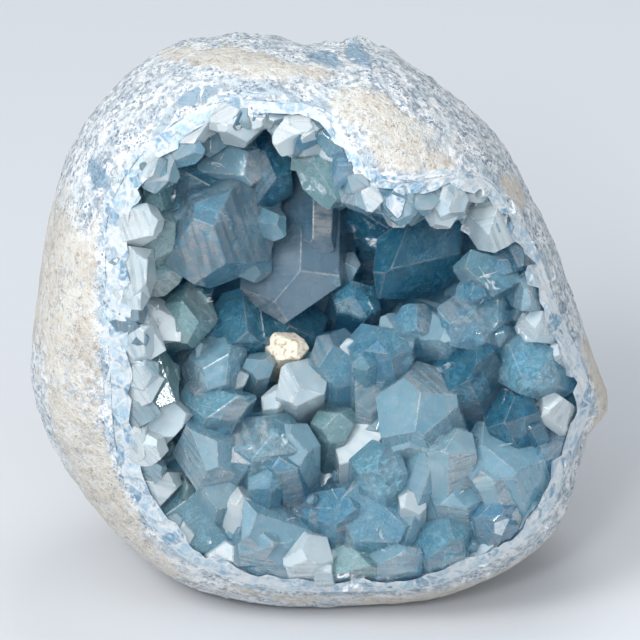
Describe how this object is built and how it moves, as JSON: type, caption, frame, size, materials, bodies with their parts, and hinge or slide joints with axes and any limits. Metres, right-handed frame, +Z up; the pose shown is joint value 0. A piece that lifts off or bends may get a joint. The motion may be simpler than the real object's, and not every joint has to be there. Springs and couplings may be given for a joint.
{
  "type": "celestite geode",
  "caption": "Egg-shaped crystal geode: a pale rock nodule, open in front, its hollow lined with blocky sky-blue celestite; stands on a small ground spot.",
  "frame": {"origin": "middle of the object's footprint, on the surface that it stands on", "axes": "+Z up, -Y out of the hollow's mouth towards the viewer, +X to the viewer's right"},
  "size_m": [0.1896, 0.1158, 0.1956],
  "materials": {
    "rind": "tumbled pale matrix rock, cream with blue-grey specks, dry and slightly rough",
    "crystal": "glassy crystal faces, see-through to milky, sky blue to grey-blue, frosted white where ground at the rim"
  },
  "bodies": {
    "root": {"rind": "rind", "crystal_crust": "crystal"}
  },
  "joints": []
}
